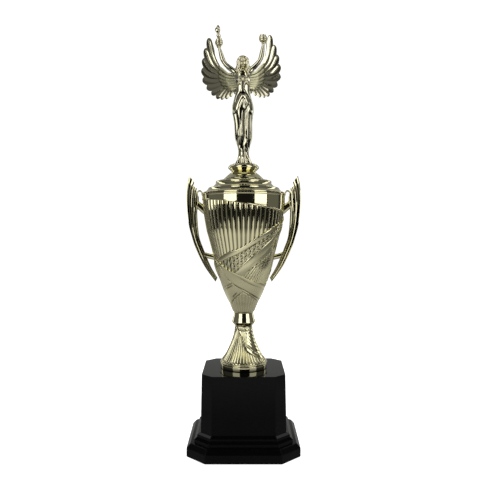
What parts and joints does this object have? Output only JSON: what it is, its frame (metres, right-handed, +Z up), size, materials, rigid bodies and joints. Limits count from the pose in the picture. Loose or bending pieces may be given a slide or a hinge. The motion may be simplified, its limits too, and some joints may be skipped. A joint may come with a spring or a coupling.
{
  "type": "figure trophy",
  "caption": "Winged figure holding a torch on the lid of a two-handled fluted cup, on a flared stem and a black corner-cut block base.",
  "frame": {"origin": "centre of the base on the plane the trophy stands on", "axes": "+Z up along the cup's axis, -Y towards the front of the figure, +X to the viewer's right"},
  "size_m": [0.1092, 0.1024, 0.4],
  "materials": {
    "black_plastic": "high gloss black injection moulding",
    "plated_gold": "vacuum-metallised champagne gold, polished",
    "satin_gold": "vacuum-metallised champagne gold, satin with fine relief",
    "zinc_steel": "zinc-plated fastener",
    "cast_iron": "rough casting",
    "grey_board": "matt sheet",
    "pad_rubber": "foam rubber pad"
  },
  "bodies": {
    "stand": {"base_shell": "black_plastic", "base_weight": "cast_iron", "base_plate": "grey_board", "foot_pad_1": "pad_rubber", "foot_pad_2": "pad_rubber", "foot_pad_3": "pad_rubber", "foot_pad_4": "pad_rubber", "plate_screw_1": "zinc_steel", "plate_screw_2": "zinc_steel", "plate_screw_3": "zinc_steel", "plate_screw_4": "zinc_steel", "stem_riser": "satin_gold", "stem_collar": "plated_gold", "tie_rod": "zinc_steel", "lower_tie_washer": "zinc_steel", "lower_tie_nut": "zinc_steel", "upper_tie_washer": "zinc_steel", "upper_tie_nut": "zinc_steel", "cup_bowl": "satin_gold", "handle_left": "plated_gold", "handle_right": "plated_gold"},
    "lid": {"lid_shell": "plated_gold", "figure_seat": "plated_gold"},
    "figure": {"figure_stand": "plated_gold", "figure_stud": "zinc_steel", "figure_stud_washer": "zinc_steel", "figure_stud_nut": "zinc_steel", "figure_body": "plated_gold", "wing_left": "plated_gold", "wing_right": "plated_gold"}
  },
  "joints": [
    {"name": "lid_lift", "type": "slide", "parent": "stand", "child": "lid", "axis": [0, 0, 1], "range_m": [0, 0.08]},
    {"name": "figure_turn", "type": "hinge", "parent": "lid", "child": "figure", "pos_m": [0, 0, 0.2587], "axis": [0, 0, 1], "continuous": true}
  ]
}
